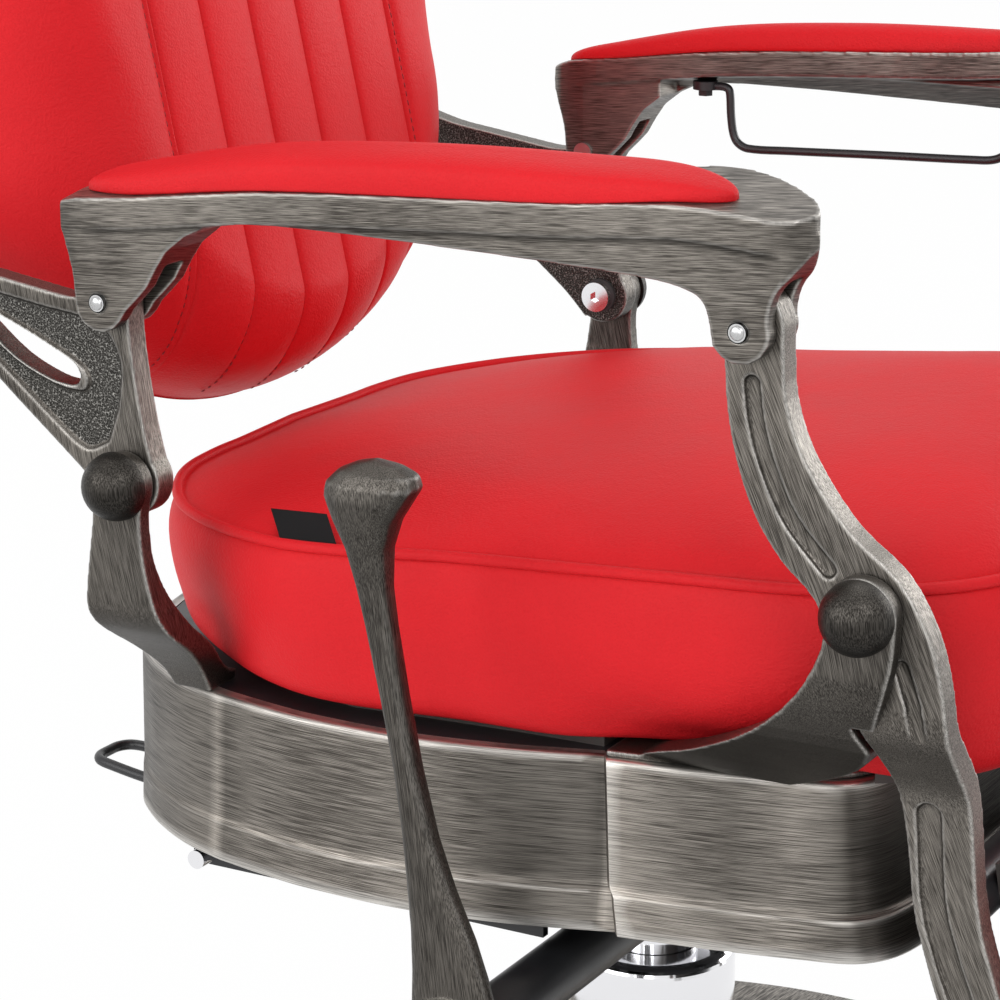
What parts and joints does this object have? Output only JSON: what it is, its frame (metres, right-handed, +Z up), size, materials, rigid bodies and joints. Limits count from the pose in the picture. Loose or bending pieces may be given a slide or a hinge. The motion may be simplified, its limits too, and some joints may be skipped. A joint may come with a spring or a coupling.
{
  "type": "barber chair",
  "caption": "Hydraulic barber chair with red channelled cushions, antique metal arms and levers, a swivelling lift column, a side pump lever and a back that lifts the leg rest as it reclines.",
  "frame": {"origin": "on the floor, on the axis of the lift column", "axes": "+Z up, the sitter looks along -Y, the sitter's right hand is towards -X"},
  "size_m": [0.736, 1.0832, 1.2356],
  "materials": {
    "gunmetal": "antique brushed cast metal, worn bright on its edges",
    "chrome": "polished",
    "bright_steel": "satin zinc",
    "black_plate": "satin black",
    "black_iron": "satin black",
    "rubber": "matt",
    "nylon": "matt",
    "knob": "gloss",
    "board": "black stained plywood",
    "tag": "woven, bare",
    "red_vinyl": "grained vinyl over foam"
  },
  "bodies": {
    "base": {"base_plate": "gunmetal", "floor_plate": "black_plate", "floor_ring": "rubber", "pump_cylinder": "gunmetal", "pump_cover": "chrome", "flange_bolts": "bright_steel", "ram_seal": "rubber"},
    "lift": {"ram": "chrome", "swivel_bearing": "bright_steel"},
    "seat": {"pump_head": "black_iron", "lever_tube": "black_plate", "subframe": "black_plate", "cross_pin": "chrome", "seat_frame": "gunmetal", "seat_pan": "black_plate", "cushion_board": "board", "seat_cushion": "red_vinyl", "label_tag": "tag", "rear_bracket_right": "gunmetal", "rear_bracket_left": "gunmetal", "front_bracket_right": "gunmetal", "front_bracket_left": "gunmetal", "bracket_bolts": "bright_steel", "hinge_caps": "gunmetal", "hinge_bolts": "chrome", "hinge_washers": "nylon"},
    "pump_lever": {"hand_lever": "gunmetal", "lever_nut": "chrome", "lever_shaft": "bright_steel", "pump_rocker": "bright_steel"},
    "piston": {"pump_piston": "bright_steel"},
    "release": {"release_loop": "black_plate"},
    "back": {"back_casting_right": "gunmetal", "back_casting_left": "gunmetal", "back_tube": "gunmetal", "back_tube_bolts": "bright_steel", "back_saddles": "black_plate", "back_shell": "board", "back_cushion": "red_vinyl", "headrest_socket": "gunmetal"},
    "knob": {"clamp_knob": "knob"},
    "headrest_stem": {"headrest_post": "chrome"},
    "headrest": {"headrest_bracket": "gunmetal", "headrest_cushion": "red_vinyl"},
    "right_arm": {"arm_right": "gunmetal", "arm_pad_right": "red_vinyl", "arm_pins_right": "bright_steel"},
    "left_arm": {"arm_left": "gunmetal", "arm_pad_left": "red_vinyl", "arm_pins_left": "bright_steel", "towel_rail": "black_plate"},
    "legrest": {"front_lever_right": "gunmetal", "front_lever_left": "gunmetal", "leg_tubes": "black_plate", "calf_board": "board", "calf_cushion": "red_vinyl", "foot_pin": "bright_steel"},
    "footrest": {"foot_rest": "gunmetal"},
    "recline_barrel": {"lock_cylinder": "black_plate"},
    "recline_rod": {"lock_rod": "chrome"}
  },
  "joints": [
    {"name": "lift", "type": "slide", "parent": "base", "child": "lift", "axis": [0, 0, 1], "range_m": [0, 0.14]},
    {"name": "swivel", "type": "hinge", "parent": "lift", "child": "seat", "pos_m": [0, 0, 0.214], "axis": [0, 0, 1], "continuous": true},
    {"name": "pump_stroke", "type": "hinge", "parent": "seat", "child": "pump_lever", "pos_m": [-0.362, -0.057, 0.278], "axis": [1, 0, 0], "range_deg": [-20, 20], "stiffness_Nm_per_rad": 30},
    {"name": "piston_stroke", "type": "slide", "parent": "seat", "child": "piston", "axis": [0, 0, 1], "range_m": [-0.01, 0.01]},
    {"name": "release", "type": "hinge", "parent": "seat", "child": "release", "pos_m": [0, 0.192, 0.303], "axis": [1, 0, 0], "range_deg": [-14, 0], "stiffness_Nm_per_rad": 1, "springref_deg": 5.73},
    {"name": "recline", "type": "hinge", "parent": "seat", "child": "back", "pos_m": [0, 0.195, 0.56], "axis": [-1, 0, 0], "range_deg": [0, 40]},
    {"name": "knob_turn", "type": "hinge", "parent": "back", "child": "knob", "pos_m": [0, 0.46192, 1.03824], "axis": [0, 0.9767, -0.2147], "range_deg": [0, 180]},
    {"name": "headrest_height", "type": "slide", "parent": "back", "child": "headrest_stem", "axis": [0, 0.2147, 0.9767], "range_m": [0, 0.1]},
    {"name": "headrest_tilt", "type": "hinge", "parent": "headrest_stem", "child": "headrest", "pos_m": [0, 0.4806, 1.12321], "axis": [1, 0, 0], "range_deg": [-25, 4]},
    {"name": "arm_right_turn", "type": "hinge", "parent": "back", "child": "right_arm", "pos_m": [0, 0.205, 0.668], "axis": [-1, 0, 0], "range_deg": [-45, 0]},
    {"name": "arm_left_turn", "type": "hinge", "parent": "back", "child": "left_arm", "pos_m": [0, 0.205, 0.668], "axis": [-1, 0, 0], "range_deg": [-45, 0]},
    {"name": "legrest_lift", "type": "hinge", "parent": "seat", "child": "legrest", "pos_m": [0, -0.274, 0.552], "axis": [-1, 0, 0], "range_deg": [0, 33]},
    {"name": "footrest_fold", "type": "hinge", "parent": "legrest", "child": "footrest", "pos_m": [0, -0.392, 0.132], "axis": [-1, 0, 0], "range_deg": [0, 60]},
    {"name": "cylinder_swing", "type": "hinge", "parent": "seat", "child": "recline_barrel", "pos_m": [0.1, -0.02, 0.3], "axis": [-1, 0, 0], "range_deg": [0, 11]},
    {"name": "rod_slide", "type": "slide", "parent": "recline_barrel", "child": "recline_rod", "axis": [0, -0.9886, -0.1504], "range_m": [0, 0.155]}
  ],
  "couplings": [
    {"joint": "piston_stroke", "follows": "pump_stroke", "m_per_rad": -0.0255},
    {"joint": "arm_right_turn", "follows": "recline", "ratio": -1.102},
    {"joint": "arm_left_turn", "follows": "recline", "ratio": -1.102},
    {"joint": "legrest_lift", "follows": "recline", "ratio": 0.801},
    {"joint": "cylinder_swing", "follows": "recline", "ratio": 0.25644},
    {"joint": "rod_slide", "follows": "recline", "m_per_rad": 0.21768}
  ]
}
